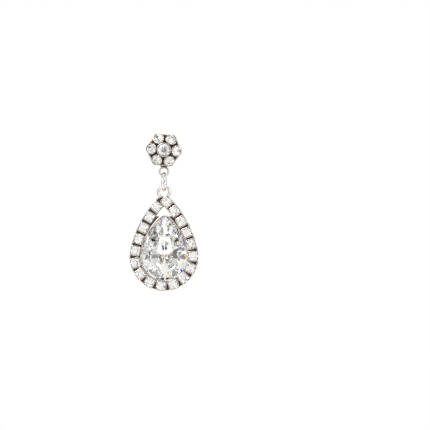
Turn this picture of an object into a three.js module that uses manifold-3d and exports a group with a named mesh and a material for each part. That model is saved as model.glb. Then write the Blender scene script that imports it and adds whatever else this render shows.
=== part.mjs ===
// A drop earring: a flower stud with seven round stones, a jump ring, and a teardrop frame that holds
// eighteen round stones about one large pear stone.
// Millimetres, +Z up, and the front faces -Y. The origin is where the post leaves the stud's back.
import * as THREE from 'three';
import { mergeVertices } from 'three/addons/utils/BufferGeometryUtils.js';
import Module from 'manifold-3d';

const wasm = await Module();
wasm.setup();
const radians = THREE.MathUtils.degToRad;

// ---- Driving dimensions ----

const GAP = 0.06; // between a stone and its seat, and between two links that hang in each other
const OPEN = 20; // how far a cutting tool runs, well past the surface of any piece
const WIRE_STEPS = { sides: 8, around: 24 }; // of the two soldered loops
const RING_STEPS = { sides: 10, around: 28 }; // of the jump ring
const OUTLINE_STEPS = { side: 5, tip: 6, bottom: 22 }; // of a teardrop outline's arcs

// A round brilliant, as shares of its girdle's radius.
const CUT = { sides: 12, table: 0.56, crown: 0.38, girdle: 0.1, pavilion: 1.0 };
const RIM_RISE = 0.1; // how far a cup's rim laps over the crown, as a share of the stone's radius
const CUP_FOOT = 0.76; // the foot of a stud cup, as a share of the cup's outer radius
const CUP_SINK = 0.3; // how deep the middle cup's foot is sunk in the plate

const POST = { radius: 0.4, length: 11, taper: 0.6, end: 0.16, solder: 0.45, sides: 24 };
const PAD = { radius: 2.6, thickness: 0.4 };

const PLATE = { radius: 4.55, back: -0.45, front: -1.15, sides: 36 };
const PETALS = { count: 6, ring: 3.5, stoneRadius: 1.3, wall: 0.17, girdleY: -2.15 };
const PETAL_TILT = radians(20); // of each petal's face, outward
const PETAL_TURN = radians(-5); // of the whole ring of petals, from level
const CENTRE = { stoneRadius: 1.62, wall: 0.3, girdleY: -2.85 };

const HANG_Y = -0.8; // the plane that both links and the drop's weight hang in
const STUD_LOOP = { ring: 1.2, wire: 0.25, centreZ: -6.1 };
const TAB = { width: 2, top: -4.2, bottom: -5.05 };
const JUMP_RING = { ring: 2.3, wire: 0.4, yaw: radians(9) };
const DROP_LOOP = { ring: 1.575, wire: 0.425 };

// The drop's own frame has its origin at the middle of its round bottom, in the plane it hangs in.
const HALO = { bottom: 8.15, side: 28.15, spring: radians(12), stoneCount: 18, stoneRadius: 1.3 };
const FIRST_STONE = 1.1; // from the apex to the first stone, along the right arm
const LAST_STONE = 3.0; // from the last stone to the apex, along the left arm
const RAIL = { outer: 1.5, inner: 1.42, tip: 16.95, innerTip: 13.85, back: 0.5, front: -1.0 };
const HALO_CUP = { half: 1.43, corner: 0.75, back: 0.1, girdleY: -1.75 };
const APEX_HEIGHT = 16.08; // of the halo's centreline above the middle of its round bottom
const LOOP_ABOVE_APEX = 1.89; // from that apex up to the middle of the drop's loop

const PEAR = { bottom: 6.5, side: 17, spring: radians(8), tip: 11.5, x: 0.15, z: -0.2 };
const PEAR_CUT = { table: 0.6, tableY: -2.95, girdleFront: -1.2, girdleBack: -0.9, culetY: 3.1, culet: 0.03 };
const PEAR_CUP = { wall: 0.32, rimY: -1.3, skirtY: -0.35, backY: 3.45, backShare: 0.18 };
const WEB = { top: 11.3, back: 0.5, front: -0.45 }; // the plate between the halo and the pear's cup

const BALANCE_Y = 0.25; // moves the drop so that its weight hangs under its loop

// ---- Materials ----

const silver = () => new THREE.MeshStandardMaterial({ color: '#c9c4bd', roughness: 0.3, metalness: 1 });
const darkSilver = () => new THREE.MeshStandardMaterial({ color: '#8d857c', roughness: 0.38, metalness: 1 });
const crystal = () => new THREE.MeshStandardMaterial({ color: '#f3f3f1', roughness: 0.04, metalness: 0 });

// ---- Solids: joining and cutting ----

function solid(geometry) {
  const bare = geometry.clone();
  bare.deleteAttribute('normal');
  bare.deleteAttribute('uv');
  const merged = mergeVertices(bare, 1e-5);
  return new wasm.Manifold(new wasm.Mesh({
    numProp: 3,
    vertProperties: new Float32Array(merged.attributes.position.array),
    triVerts: new Uint32Array(merged.index.array),
  }));
}

function geometryOf(manifold) {
  const mesh = manifold.getMesh();
  const geometry = new THREE.BufferGeometry();
  geometry.setAttribute('position', new THREE.BufferAttribute(mesh.vertProperties, 3));
  geometry.setIndex(new THREE.BufferAttribute(mesh.triVerts, 1));
  geometry.computeVertexNormals();
  return geometry;
}

const join = (solids) => solids.reduce((all, next) => all.add(next));
const cut = (body, tools) => tools.reduce((left, tool) => left.subtract(tool), body);

function piece(name, geometry, material) {
  const mesh = new THREE.Mesh(geometry, material);
  mesh.name = name;
  return mesh;
}

// ---- Outlines and simple forms ----

// An outline's shape lies in X and Z, and its solid runs from y = back forward to y = front.
function prism(shape, back, front) {
  const settings = { depth: back - front, bevelEnabled: false, curveSegments: 2 };
  const geometry = new THREE.ExtrudeGeometry(shape, settings);
  return geometry.rotateX(Math.PI / 2).translate(0, back, 0);
}

// A profile of [radius, y] pairs from back to front, turned about the Y axis.
function turned(profile, sides) {
  const points = profile.map(([radius, y]) => new THREE.Vector2(radius, y));
  return new THREE.LatheGeometry(points.reverse(), sides);
}

// A wire ring that lies in the XZ plane.
function wireRing({ ring, wire }, { sides, around }) {
  return new THREE.TorusGeometry(ring, wire, sides, around).rotateX(Math.PI / 2);
}

// A closed skin over rings of equally many points, each ring convex and running the same way round.
function loft(rings) {
  const around = rings[0].length;
  const corners = [];
  const face = (a, b, c) => corners.push(a, b, c);
  rings.slice(1).forEach((ring, i) => ring.forEach((point, j) => {
    const next = (j + 1) % around;
    face(rings[i][j], rings[i][next], ring[next]);
    face(rings[i][j], ring[next], point);
  }));
  const [first, last] = [rings[0], rings.at(-1)];
  for (let j = 1; j < around - 1; j += 1) {
    face(first[0], first[j + 1], first[j]);
    face(last[0], last[j], last[j + 1]);
  }
  return new THREE.BufferGeometry().setFromPoints(corners);
}

const steps = (from, to, count) => Array.from({ length: count }, (_, i) => from + ((to - from) * i) / count);

// A teardrop of tangent arcs about its round bottom's middle: the bottom, two long sides that spring
// from it, and a small round tip whose top is at the height `tip`. It gives the point whose outward
// normal has the angle `angle`, moved out by `spare`.
function teardrop({ bottom, side, spring, tip }) {
  const sideX = (side - bottom) * Math.cos(spring);
  const sideZ = (side - bottom) * Math.sin(spring);
  const height = tip + sideZ;
  const tipRadius = (side ** 2 - sideX ** 2 - height ** 2) / (2 * (side - height));
  const turn = Math.atan2(height - tipRadius, sideX);
  const arcs = [
    { to: spring, x: 0, z: 0, radius: bottom },
    { to: turn, x: -sideX, z: -sideZ, radius: side },
    { to: Math.PI / 2, x: 0, z: tip - tipRadius, radius: tipRadius },
  ];
  const pointAt = (angle, spare = 0) => {
    const rise = Math.asin(Math.sin(angle));
    const arc = arcs.find(({ to }) => rise <= to + 1e-9);
    const hand = Math.cos(angle) < 0 ? -1 : 1;
    const radius = arc.radius + spare;
    return new THREE.Vector2(hand * arc.x + radius * Math.cos(angle), arc.z + radius * Math.sin(angle));
  };
  const angles = [
    ...steps(spring, turn, OUTLINE_STEPS.side),
    ...steps(turn, Math.PI - turn, OUTLINE_STEPS.tip),
    ...steps(Math.PI - turn, Math.PI - spring, OUTLINE_STEPS.side),
    ...steps(Math.PI - spring, 2 * Math.PI + spring, OUTLINE_STEPS.bottom),
  ];
  return { pointAt, outline: (spare = 0) => angles.map((angle) => pointAt(angle, spare)) };
}

// A round brilliant that faces -Y, with the middle of its girdle at the origin.
function brilliant(radius) {
  const half = (CUT.girdle * radius) / 2;
  const table = -half - CUT.crown * radius;
  const profile = [
    [0, half + CUT.pavilion * radius],
    [radius, half],
    [radius, -half],
    [CUT.table * radius, table],
    [0, table],
  ];
  return turned(profile, CUT.sides);
}

// The well that such a stone is set into: the stone with GAP all round, open to the front.
function brilliantWell(radius) {
  const half = (CUT.girdle * radius) / 2;
  const profile = [
    [0, half + CUT.pavilion * radius + 2 * GAP],
    [radius + GAP, half + GAP],
    [radius + GAP, -half],
    [CUT.table * radius + GAP, -half - CUT.crown * radius],
    [CUT.table * radius + GAP, -OPEN],
    [0, -OPEN],
  ];
  return turned(profile, CUT.sides);
}

const rimHeight = (radius) => -(CUT.girdle / 2 + RIM_RISE) * radius;

// Where a stone sits: its girdle's middle, and its face turned outward by `tilt`.
function seat(x, z, girdleY, angle, tilt = 0) {
  const turn = new THREE.Matrix4().makeRotationY(-angle);
  const lean = new THREE.Matrix4().makeRotationZ(tilt);
  return new THREE.Matrix4().makeTranslation(x, girdleY, z).multiply(turn).multiply(lean);
}

const seated = (geometry, matrix) => solid(geometry.applyMatrix4(matrix));

function stoneIn(name, matrix, radius) {
  const mesh = piece(name, brilliant(radius), crystal());
  mesh.applyMatrix4(matrix);
  return mesh;
}

// ---- The flower stud ----

const petalSeats = Array.from({ length: PETALS.count }, (_, i) => {
  const angle = PETAL_TURN + (i * 2 * Math.PI) / PETALS.count;
  const [x, z] = [PETALS.ring * Math.cos(angle), PETALS.ring * Math.sin(angle)];
  return seat(x, z, PETALS.girdleY, angle, PETAL_TILT);
});
const centreSeat = seat(0, 0, CENTRE.girdleY, 0);

const cupProfile = (outer, foot, rim) => [
  [0, foot], [outer * CUP_FOOT, foot], [outer, foot / 2], [outer, rim], [0, rim],
];

function petalCup() {
  const outer = PETALS.stoneRadius + GAP + PETALS.wall;
  const foot = (CUT.girdle / 2 + CUT.pavilion) * PETALS.stoneRadius + GAP;
  const rim = rimHeight(PETALS.stoneRadius);
  return turned(cupProfile(outer, foot, rim), CUT.sides);
}

function centreCup() {
  const outer = CENTRE.stoneRadius + GAP + CENTRE.wall;
  const foot = PLATE.front - CENTRE.girdleY + CUP_SINK;
  const rim = rimHeight(CENTRE.stoneRadius);
  return turned(cupProfile(outer, foot, rim), 2 * CUT.sides);
}

function studSetting() {
  const plate = turned([[0, PLATE.back], [PLATE.radius, PLATE.back], [PLATE.radius, PLATE.front],
    [0, PLATE.front]], PLATE.sides);
  const tab = new THREE.BoxGeometry(TAB.width, PLATE.back - PLATE.front, TAB.top - TAB.bottom)
    .translate(0, (PLATE.back + PLATE.front) / 2, (TAB.top + TAB.bottom) / 2);
  const loop = wireRing(STUD_LOOP, WIRE_STEPS).translate(0, HANG_Y, STUD_LOOP.centreZ);
  const metal = join([
    solid(plate),
    solid(tab),
    solid(loop),
    ...petalSeats.map((matrix) => seated(petalCup(), matrix)),
    seated(centreCup(), centreSeat),
  ]);
  return cut(metal, [
    ...petalSeats.map((matrix) => seated(brilliantWell(PETALS.stoneRadius), matrix)),
    seated(brilliantWell(CENTRE.stoneRadius), centreSeat),
  ]);
}

function earPost() {
  const { radius, length, taper, end, solder, sides } = POST;
  const profile = [[0, length], [end, length], [radius, length - taper], [radius, solder],
    [radius + solder, 0], [PAD.radius, 0], [PAD.radius, -PAD.thickness], [0, -PAD.thickness]];
  return turned(profile, sides);
}

function stud() {
  const group = new THREE.Group();
  group.add(piece('stud_setting', geometryOf(studSetting()), darkSilver()));
  group.add(piece('ear_post', earPost(), silver()));
  group.add(stoneIn('centre_stone', centreSeat, CENTRE.stoneRadius));
  petalSeats.forEach((matrix, i) => {
    group.add(stoneIn(`petal_stone_${i + 1}`, matrix, PETALS.stoneRadius));
  });
  return group;
}

// ---- The jump ring: it hangs in the stud's loop, and the drop's loop hangs in it ----

const ringTopZ = STUD_LOOP.centreZ - STUD_LOOP.ring + STUD_LOOP.wire + GAP + JUMP_RING.wire;
const ringBottomZ = ringTopZ - 2 * JUMP_RING.ring;
const dropLoopZ = ringBottomZ + JUMP_RING.wire + GAP + DROP_LOOP.wire - DROP_LOOP.ring;

function jumpRing() {
  const mesh = piece('jump_ring', wireRing(JUMP_RING, RING_STEPS), silver());
  mesh.position.set(0, HANG_Y, (ringTopZ + ringBottomZ) / 2);
  mesh.rotation.set(0, 0, Math.PI / 2 - JUMP_RING.yaw);
  return mesh;
}

// ---- The drop ----

const halo = teardrop({ ...HALO, tip: APEX_HEIGHT });
const pear = teardrop(PEAR);

// The halo's centreline starts at its apex, runs down the right side, round the bottom and up the left.
const sideTurn = Math.acos(((HALO.side - HALO.bottom) * Math.cos(HALO.spring)) / HALO.side);
const sideLength = HALO.side * (sideTurn - HALO.spring);
const bottomTurn = Math.PI + 2 * HALO.spring;
const haloLength = 2 * sideLength + HALO.bottom * bottomTurn;

// The angle of the centreline's outward normal, this far along it.
function haloAngle(along) {
  if (along < sideLength) return sideTurn - along / HALO.side;
  if (along > haloLength - sideLength) return -Math.PI - sideTurn + (haloLength - along) / HALO.side;
  return HALO.spring - (along - sideLength) / HALO.bottom;
}

const haloPitch = (haloLength - FIRST_STONE - LAST_STONE) / (HALO.stoneCount - 1);
const haloSeats = Array.from({ length: HALO.stoneCount }, (_, i) => {
  const angle = haloAngle(FIRST_STONE + i * haloPitch);
  const { x, y: z } = halo.pointAt(angle);
  return seat(x, z, HALO_CUP.girdleY, angle);
});

function haloShape(spare, tip) {
  const outline = teardrop({ ...HALO, bottom: HALO.bottom + spare, side: HALO.side + spare, tip });
  return new THREE.Shape(outline.outline());
}

function roundedSquare(half, corner) {
  const inset = half - corner;
  const shape = new THREE.Shape();
  shape.absarc(inset, inset, corner, 0, Math.PI / 2);
  shape.absarc(-inset, inset, corner, Math.PI / 2, Math.PI);
  shape.absarc(-inset, -inset, corner, Math.PI, 1.5 * Math.PI);
  shape.absarc(inset, -inset, corner, 1.5 * Math.PI, 2 * Math.PI);
  shape.closePath();
  return shape;
}

// One ring of the pear: its outline shrunk towards the culet, moved out by `spare`, at the depth y.
function pearRing(share, y, spare = 0) {
  const further = pear.outline(1);
  return pear.outline().map((point, i) => {
    const outward = further[i].sub(point);
    point.multiplyScalar(share).addScaledVector(outward, spare);
    return new THREE.Vector3(PEAR.x + point.x, y, PEAR.z + point.y);
  });
}

function pearStone() {
  const { table, tableY, girdleFront, girdleBack, culetY, culet } = PEAR_CUT;
  return loft([pearRing(culet, culetY), pearRing(1, girdleBack), pearRing(1, girdleFront),
    pearRing(table, tableY)]);
}

function pearWell() {
  const { table, tableY, girdleFront, girdleBack, culetY, culet } = PEAR_CUT;
  return loft([pearRing(culet, culetY + GAP, GAP), pearRing(1, girdleBack, GAP),
    pearRing(1, girdleFront, GAP), pearRing(table, tableY, GAP), pearRing(table, -OPEN, GAP)]);
}

function pearCup() {
  const { wall, rimY, skirtY, backY, backShare } = PEAR_CUP;
  return loft([pearRing(backShare, backY, wall), pearRing(1, skirtY, GAP + wall),
    pearRing(1, rimY, GAP + wall)]);
}

function dropFrame() {
  const railShape = haloShape(RAIL.outer, RAIL.tip);
  railShape.holes.push(haloShape(-RAIL.inner, RAIL.innerTip));
  const rail = solid(prism(railShape, RAIL.back, RAIL.front));

  const cups = haloSeats.map((matrix) => {
    const { half, corner, back, girdleY } = HALO_CUP;
    const shape = roundedSquare(half, corner);
    return seated(prism(shape, back - girdleY, rimHeight(HALO.stoneRadius)), matrix);
  });
  const envelope = solid(prism(haloShape(RAIL.outer, RAIL.tip), RAIL.back, -OPEN));

  const webShape = haloShape(-RAIL.inner / 2, RAIL.innerTip + RAIL.inner / 2);
  const cap = new THREE.BoxGeometry(2 * HALO.bottom, OPEN, OPEN).translate(0, 0, WEB.top + OPEN / 2);
  const web = solid(prism(webShape, WEB.back, WEB.front)).subtract(solid(cap));

  const loop = wireRing(DROP_LOOP, WIRE_STEPS).translate(0, -BALANCE_Y, APEX_HEIGHT + LOOP_ABOVE_APEX);
  const metal = join([rail, join(cups).intersect(envelope), web, solid(pearCup()), solid(loop)]);
  return cut(metal, [
    solid(pearWell()),
    ...haloSeats.map((matrix) => seated(brilliantWell(HALO.stoneRadius), matrix)),
  ]);
}

function drop() {
  const group = new THREE.Group();
  group.add(piece('drop_frame', geometryOf(dropFrame()), silver()));
  group.add(piece('pear_stone', pearStone(), crystal()));
  haloSeats.forEach((matrix, i) => {
    group.add(stoneIn(`halo_stone_${i + 1}`, matrix, HALO.stoneRadius));
  });
  group.position.set(0, HANG_Y + BALANCE_Y, dropLoopZ - APEX_HEIGHT - LOOP_ABOVE_APEX);
  return group;
}

const earring = new THREE.Group();
earring.add(stud(), jumpRing(), drop());

export default earring;
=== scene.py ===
"""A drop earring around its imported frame: a flower stud set with seven stones, a jump ring, and a
teardrop halo of eighteen stones about one large pear stone, in worn antiqued silver.

Pieces are modelled in millimetres with Blender's own tools, then brought to metres."""

from contextlib import contextmanager
from math import acos, asin, atan, atan2, ceil, cos, hypot, pi, radians, sin, sqrt, tau
from random import Random
from types import SimpleNamespace

import bmesh
import bpy
from bpy.props import FloatProperty, FloatVectorProperty, IntProperty, PointerProperty
from bpy.types import Operator, Panel, PropertyGroup
from mathutils import Matrix, Vector
from mathutils.bvhtree import BVHTree


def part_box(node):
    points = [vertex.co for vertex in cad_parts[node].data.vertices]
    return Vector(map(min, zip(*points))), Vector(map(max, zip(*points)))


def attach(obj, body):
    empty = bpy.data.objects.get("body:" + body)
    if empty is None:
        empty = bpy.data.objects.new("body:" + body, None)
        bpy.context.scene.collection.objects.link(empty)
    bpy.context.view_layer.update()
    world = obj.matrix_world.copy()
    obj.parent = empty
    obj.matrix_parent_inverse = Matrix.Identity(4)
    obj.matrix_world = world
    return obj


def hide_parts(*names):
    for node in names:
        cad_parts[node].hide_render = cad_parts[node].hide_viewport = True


bl_info = {
    "name": "Teardrop Earring",
    "version": (1, 0, 0),
    "blender": (4, 5, 0),
    "location": "3D View > Sidebar > Earring",
    "description": "Models a flower stud, its jump ring and its stone-set teardrop in old silver",
    "category": "Add Mesh",
}

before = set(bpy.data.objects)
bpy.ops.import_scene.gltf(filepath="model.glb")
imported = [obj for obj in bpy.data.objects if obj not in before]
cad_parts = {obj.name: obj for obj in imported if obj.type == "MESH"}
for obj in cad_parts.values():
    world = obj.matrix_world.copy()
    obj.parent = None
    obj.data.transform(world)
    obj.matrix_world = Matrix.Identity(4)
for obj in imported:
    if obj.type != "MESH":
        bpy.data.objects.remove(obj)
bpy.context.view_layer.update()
MILLIMETRE = 0.001
HALO_STONES = sum(name.startswith("halo_stone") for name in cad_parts)
PETAL_STONES = sum(name.startswith("petal_stone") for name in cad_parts)
PLAY = 0.06  # millimetres between links that hang in each other, and round a stone in its cup
HAIR = 1e-9  # radians, so that the angle where two arcs meet counts to the first of them
PIT_DEPTH = 0.00002  # metres, of the pits in the cast silver
MARK_DEPTH = 0.000012  # metres, of the drawing marks on wire
RAYS = 44  # directions in which a hollow is felt out
GRAZING = 0.15  # a direction closer to the surface than this isn't tried
PRONG_TIP = ((0.1, 0.96, 0.3), (0.09, 0.85, 0.32), (0.06, 0.6, 0.26), (0.025, 0.3, 0.12))
PEAR_MAINS = (90, 52, 30, 9, -20, -55, -90, -125, -160, 171, 150, 128)  # which ways they face
POST_PROFILE = (  # how far behind the stud, and the radius there, in millimetres
    (0.0, 2.45), (0.0, 0.95), (0.12, 0.72), (0.45, 0.42), (0.6, 0.4), (7.7, 0.4), (7.8, 0.34),
    (8.1, 0.34), (8.2, 0.4), (10.4, 0.4), (10.8, 0.3))
LIGHTS = (  # name, place and size in metres, power in watts, tint
    ("key_light", (-0.35, -0.75, 0.5), 0.22, 2.6, (1, 0.99, 0.97)),
    ("top_light", (0.1, 0.1, 0.9), 0.5, 5.0, (1, 1, 1)),
    ("fill_light", (0.6, -0.5, 0.12), 0.3, 1.0, (0.97, 0.985, 1)),
)
GREY_GAPS = (  # which way each lies, the degrees within which it is whole and gone, its depth
    ((0, -1, 0), 5, 9, 0.72),
    ((-0.55, -0.7, -0.45), 7, 11, 0.75),
    ((0.62, -0.6, -0.5), 8, 12, 0.7),
    ((0.42, -0.78, 0.42), 4, 7, 0.6),
    ((-0.75, -0.5, 0.42), 6, 10, 0.65),
    ((-0.2, -0.9, 0.35), 3, 5, 0.55),
    ((0.25, -0.93, -0.2), 3, 5, 0.6),
    ((0, -0.35, -0.95), 16, 30, 0.45),
    ((0.95, -0.2, 0.1), 9, 18, 0.72),
    ((-0.97, -0.15, 0.0), 9, 18, 0.72),
    ((0.3, 0.9, 0.1), 12, 24, 0.6),
    ((-0.6, 0.75, -0.3), 10, 20, 0.55),
)


# ---- Settings ----


def length(name, value, description):
    """A length setting. It is given in millimetres here, and Blender keeps it in metres."""
    return FloatProperty(name=name, description=description, default=value * MILLIMETRE,
                         subtype="DISTANCE", unit="LENGTH", precision=5)


def turn(name, value, description):
    return FloatProperty(name=name, description=description, default=radians(value),
                         subtype="ANGLE", unit="ROTATION")


def share(name, value, description):
    return FloatProperty(name=name, description=description, default=value, subtype="FACTOR")


def colour(name, value, description):
    return FloatVectorProperty(name=name, description=description, default=value, subtype="COLOR",
                               size=3, min=0, max=1)


class StageSettings(PropertyGroup):
    camera_x: length("Camera sideways", 14.28, "How far right of the stud the camera stands")
    camera_z: length("Camera height", -18.2, "The camera's height from the ear post")
    camera_distance: length("Camera distance", 1000, "From the camera to the ear post's plane")
    view_width: length("View width", 120.4, "How much of that plane the camera takes in")
    floor_drop: length("Floor drop", 150, "How far the floor lies under the ear post")
    floor_radius: length("Floor radius", 330, "Of the round floor")
    floor_colour: colour("Floor colour", (0.96, 0.96, 0.955), "Of the pale floor")


class FinishSettings(PropertyGroup):
    silver: colour("Silver", (0.86, 0.81, 0.755), "Polished high spots of the antiqued silver")
    silver_low: colour("Tarnish", (0.125, 0.086, 0.064), "What is left in the silver's hollows")
    dark_silver: colour("Dark silver", (0.7, 0.645, 0.59), "High spots of the darker stud")
    plain_silver: colour("Plain silver", (0.9, 0.885, 0.86), "Of the jump ring and the ear post")
    crystal: colour("Crystal", (1.0, 1.0, 0.995), "Of the clear stones")
    crystal_index: FloatProperty(name="Crystal index", default=1.58, min=1, max=3,
                                 description="The stones' index of refraction")
    foil: colour("Foil", (0.95, 0.95, 0.94), "Of the mirror foil behind the stones")
    # Painted glint: this violet is painted into the foil of one pear facet as the stone's fire, a
    # painted reflection of dispersed light.
    fire: colour("Fire", (0.24, 0.18, 0.75), "Of the blue-violet fire in the pear stone")
    hollow_reach: length("Hollow reach", 1.6, "How near a wall darkens a hollow")


class StoneSettings(PropertyGroup):
    table: share("Table", 0.56, "The table's share of a round stone's width")
    crown: share("Crown", 0.38, "The crown's height, as a share of a round stone's radius")
    girdle: share("Girdle", 0.1, "The girdle's height, as a share of a round stone's radius")
    pavilion: share("Pavilion", 0.97, "The pavilion's depth, as a share of a round stone's radius")
    mains: IntProperty(name="Mains", default=8, min=6, max=12,
                       description="Main facets round a stone")
    petal_radius: length("Petal stone radius", 1.3, "Of the stud's six outer stones")
    centre_radius: length("Centre stone radius", 1.62, "Of the stud's middle stone")
    halo_radius: length("Halo stone radius", 1.3, "Of the stones round the teardrop")


class StudSettings(PropertyGroup):
    plate_radius: length("Plate radius", 4.5, "Of the plate behind the flower")
    plate_back: length("Plate back", -0.45, "Where the plate's back lies")
    plate_front: length("Plate front", -1.15, "Where the plate's front lies")
    petal_ring: length("Petal ring", 3.5, "From the flower's middle to a petal stone's middle")
    petal_girdle: length("Petal girdle", -2.15, "Where the petal stones' girdles lie")
    petal_tilt: turn("Petal tilt", 20, "How far the petals' faces lean outward")
    petal_turn: turn("Petal turn", -5, "Of the whole ring of petals")
    petal_wall: length("Petal wall", 0.17, "Of a petal cup")
    centre_girdle: length("Centre girdle", -2.85, "Where the middle stone's girdle lies")
    centre_wall: length("Centre wall", 0.3, "Of the middle cup")
    loop_ring: length("Loop ring", 1.2, "Radius of the stud loop's wire circle")
    loop_wire: length("Loop wire", 0.25, "Radius of the stud loop's wire")
    loop_height: length("Loop height", -6.1, "Of the stud loop's middle")
    tab_width: length("Tab width", 2.0, "Of the tab that the loop is soldered to")
    hang: length("Hanging plane", -0.8, "The plane that the links hang in")


class LinkSettings(PropertyGroup):
    ring: length("Ring", 2.3, "Radius of the jump ring's wire circle")
    wire: length("Wire", 0.4, "Radius of the jump ring's wire")
    yaw: turn("Yaw", 9, "How far the jump ring is turned from side-on")
    seam: turn("Seam", 1.3, "The hairline opening where the ring's ends meet")


class DropSettings(PropertyGroup):
    bottom: length("Bottom", 8.15, "Radius of the halo centreline's round bottom")
    side: length("Side", 28.15, "Radius of its long sides")
    spring: turn("Spring", 12, "Where the sides leave the bottom")
    apex: length("Apex", 16.08, "Height of the centreline's point above its middle")
    first_stone: length("First stone", 1.1, "From the point to the first stone, down the right arm")
    last_stone: length("Last stone", 3.0, "From the last stone to the point")
    girdle: length("Girdle", -1.75, "Where the halo stones' girdles lie")
    rail_outer: length("Rail outer", 1.5, "From the centreline out to the rail's edge")
    rail_inner: length("Rail inner", 1.42, "From the centreline in to the rail's edge")
    rail_tip: length("Rail tip", 16.95, "Height of the rail's outer tip")
    rail_inner_tip: length("Rail inner tip", 13.85, "Height of the rail's inner tip")
    cup_half: length("Cup half width", 1.42, "Half of a halo cup's width")
    cup_corner: length("Cup corner", 0.62, "Radius of a halo cup's corners")
    web_top: length("Web top", 11.3, "Where the plate behind the pear ends")
    loop_ring: length("Loop ring", 1.575, "Radius of the drop loop's wire circle")
    loop_wire: length("Loop wire", 0.425, "Radius of the drop loop's wire")
    loop_rise: length("Loop rise", 1.89, "From the halo's point up to the loop's middle")
    balance: length("Balance", 0.25, "How far the drop hangs behind its loop")


class PearSettings(PropertyGroup):
    bottom: length("Bottom", 6.5, "Radius of the pear's round bottom")
    side: length("Side", 17, "Radius of its long sides")
    spring: turn("Spring", 8, "Where the sides leave the bottom")
    tip: length("Tip", 11.5, "Height of the pear's tip above its middle")
    x: length("Sideways", 0.15, "Of the pear in the halo")
    z: length("Upward", -0.2, "Of the pear in the halo")
    table: share("Table", 0.6, "The table's share of the pear's outline")
    table_y: length("Table", -2.95, "Where the table lies")
    girdle_front: length("Girdle front", -1.2, "Where the girdle's front edge lies")
    girdle_back: length("Girdle back", -0.9, "Where the girdle's back edge lies")
    culet_y: length("Culet", 3.1, "Where the pavilion ends")
    wall: length("Cup wall", 0.32, "Of the pear's cup")
    rim_y: length("Cup rim", -1.3, "Where the cup's rim lies")
    skirt_y: length("Cup skirt", -0.35, "Where the cup starts to taper")
    back_y: length("Cup back", 3.45, "Where the cup ends")
    back_share: share("Cup back share", 0.18, "Of the outline that is left at the cup's back")


def in_millimetres(settings):
    """The settings' values, with lengths in millimetres."""
    values = {}
    for name in settings.__annotations__:
        value = getattr(settings, name)
        is_length = settings.bl_rna.properties[name].subtype == "DISTANCE"
        values[name] = value / MILLIMETRE if is_length else value
    return SimpleNamespace(**values)


def settings_of(scene, *groups):
    """These groups of settings, each as in_millimetres gives it."""
    return [in_millimetres(getattr(scene, "earring_" + group)) for group in groups]


# ---- Modelling tools ----


def deselect():
    if bpy.context.mode != "OBJECT":
        bpy.ops.object.mode_set(mode="OBJECT")
    bpy.ops.object.select_all(action="DESELECT")


def activate(piece):
    deselect()
    piece.select_set(True)
    bpy.context.view_layer.objects.active = piece


def begin(name, primitive, **sizes):
    """Adds a primitive at its size and place, and settles its place in its mesh."""
    deselect()
    primitive(**sizes)
    piece = bpy.context.active_object
    piece.name = piece.data.name = name
    bpy.ops.object.transform_apply(location=True, rotation=True, scale=True)
    return piece


@contextmanager
def editing(piece, kind="FACE"):
    activate(piece)
    bpy.ops.object.mode_set(mode="EDIT")
    take_all(kind)
    yield
    bpy.ops.object.mode_set(mode="OBJECT")


def pick(piece, kind, wanted):
    """In edit mode, selects only the vertices, edges or faces that are wanted."""
    bpy.ops.mesh.select_mode(type=kind)
    bpy.ops.mesh.select_all(action="DESELECT")
    mesh = bmesh.from_edit_mesh(piece.data)
    for part in {"VERT": mesh.verts, "EDGE": mesh.edges, "FACE": mesh.faces}[kind]:
        if wanted(part):
            part.select_set(True)
    mesh.select_flush_mode()
    bmesh.update_edit_mesh(piece.data)


def take_all(kind):
    bpy.ops.mesh.select_mode(type=kind)
    bpy.ops.mesh.select_all(action="SELECT")


def face_outward():
    bpy.ops.mesh.select_all(action="SELECT")
    bpy.ops.mesh.normals_make_consistent(inside=False)


def inset(width):
    bpy.ops.mesh.inset(thickness=width)


def middle(part):
    return sum((vertex.co for vertex in part.verts), Vector()) / len(part.verts)


def move(x=0, y=0, z=0):
    bpy.ops.transform.translate(value=(x, y, z))


def resize(size, about):
    bpy.ops.transform.resize(value=size, center_override=about)


def extrude(y=0.0, size=1.0, about=(0, 0, 0)):
    """Extrudes the selected faces or edges along Y, and scales what is new in X and Z."""
    bpy.ops.mesh.extrude_region_move(TRANSFORM_OT_translate={"value": (0, y, 0)})
    if size != 1:
        resize((size, 1, size), about)


def add_rows(depths):
    """Runs a ring of edges round the piece at each of these depths in Y."""
    for y in depths:
        bpy.ops.mesh.select_all(action="SELECT")
        bpy.ops.mesh.bisect(plane_co=(0, y, 0), plane_no=(0, 1, 0))


def weld(gap=0.002):
    bpy.ops.mesh.select_all(action="SELECT")
    bpy.ops.mesh.remove_doubles(threshold=gap)
    bpy.ops.mesh.normals_make_consistent(inside=False)


def cap_ends(piece):
    pick(piece, "EDGE", lambda edge: edge.is_boundary)
    bpy.ops.mesh.fill()


def modify(piece, kind, **values):
    activate(piece)
    modifier = piece.modifiers.new(kind.title(), kind)
    for name, value in values.items():
        setattr(modifier, name, value)
    bpy.ops.object.modifier_apply(modifier=modifier.name)


def soften(piece, width, segments=2, angle=35):
    modify(piece, "BEVEL", width=width, segments=segments, limit_method="ANGLE",
           angle_limit=radians(angle), harden_normals=False)


def smooth(piece, angle=38):
    activate(piece)
    bpy.ops.object.shade_smooth_by_angle(angle=radians(angle))


def copies_at(piece, places):
    """One joined piece of copies of this one at these places."""
    made = []
    for place in places:
        copy = piece.copy()
        copy.data = piece.data.copy()
        bpy.context.scene.collection.objects.link(copy)
        copy.matrix_world = place
        made.append(copy)
    return joined(piece.name, made, pattern=piece)


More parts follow.
